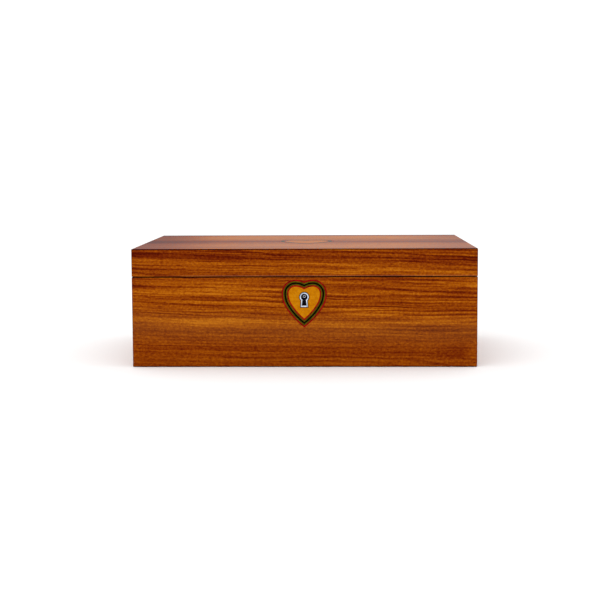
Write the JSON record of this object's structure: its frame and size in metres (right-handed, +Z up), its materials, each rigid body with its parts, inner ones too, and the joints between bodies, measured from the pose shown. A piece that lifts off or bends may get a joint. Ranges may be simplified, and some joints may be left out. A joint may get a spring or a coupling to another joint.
{
  "type": "musical jewelry box",
  "caption": "Rectangular wooden jewelry box, veneered and lacquered, with a hinged lid, a lock in the front, and inlaid hearts on the lid and around the keyhole.",
  "frame": {"origin": "middle of the underside, between the outer faces of the four walls", "axes": "+X along the long side to the right, seen from the front; -Y out of the front wall with the keyhole; +Z up"},
  "size_m": [0.292, 0.1947, 0.1005],
  "materials": {
    "veneer": "orange-brown veneer under clear gloss lacquer",
    "inside_wood": "plain satin wood",
    "golden_veneer": "golden yellow veneer under clear gloss lacquer",
    "dyed_banding": "red, olive and black dyed strings under clear gloss lacquer",
    "silvered_metal": "bright, slightly worn plate",
    "dark_steel": "dull dark steel",
    "brass": "lightly tarnished"
  },
  "bodies": {
    "box": {"body_front_wall": "veneer", "body_back_wall": "veneer", "body_left_wall": "veneer", "body_right_wall": "veneer", "body_floor": "inside_wood", "front_heart_banding": "dyed_banding", "front_heart_field": "golden_veneer", "keyhole_surround": "silvered_metal", "lock": "dark_steel", "hinge_left_body_leaf": "brass", "hinge_left_pin": "brass", "hinge_right_body_leaf": "brass", "hinge_right_pin": "brass"},
    "lid": {"lid_top_panel": "veneer", "lid_front_rail": "veneer", "lid_back_rail": "veneer", "lid_left_rail": "veneer", "lid_right_rail": "veneer", "lid_heart_banding": "dyed_banding", "lid_heart_field": "golden_veneer", "lock_strike": "dark_steel", "hinge_left_lid_leaf": "brass", "hinge_right_lid_leaf": "brass"}
  },
  "joints": [
    {"name": "lid_hinge", "type": "hinge", "parent": "box", "child": "lid", "pos_m": [0, 0.0973, 0.0767], "axis": [-1, 0, 0], "range_deg": [0, 100]}
  ]
}
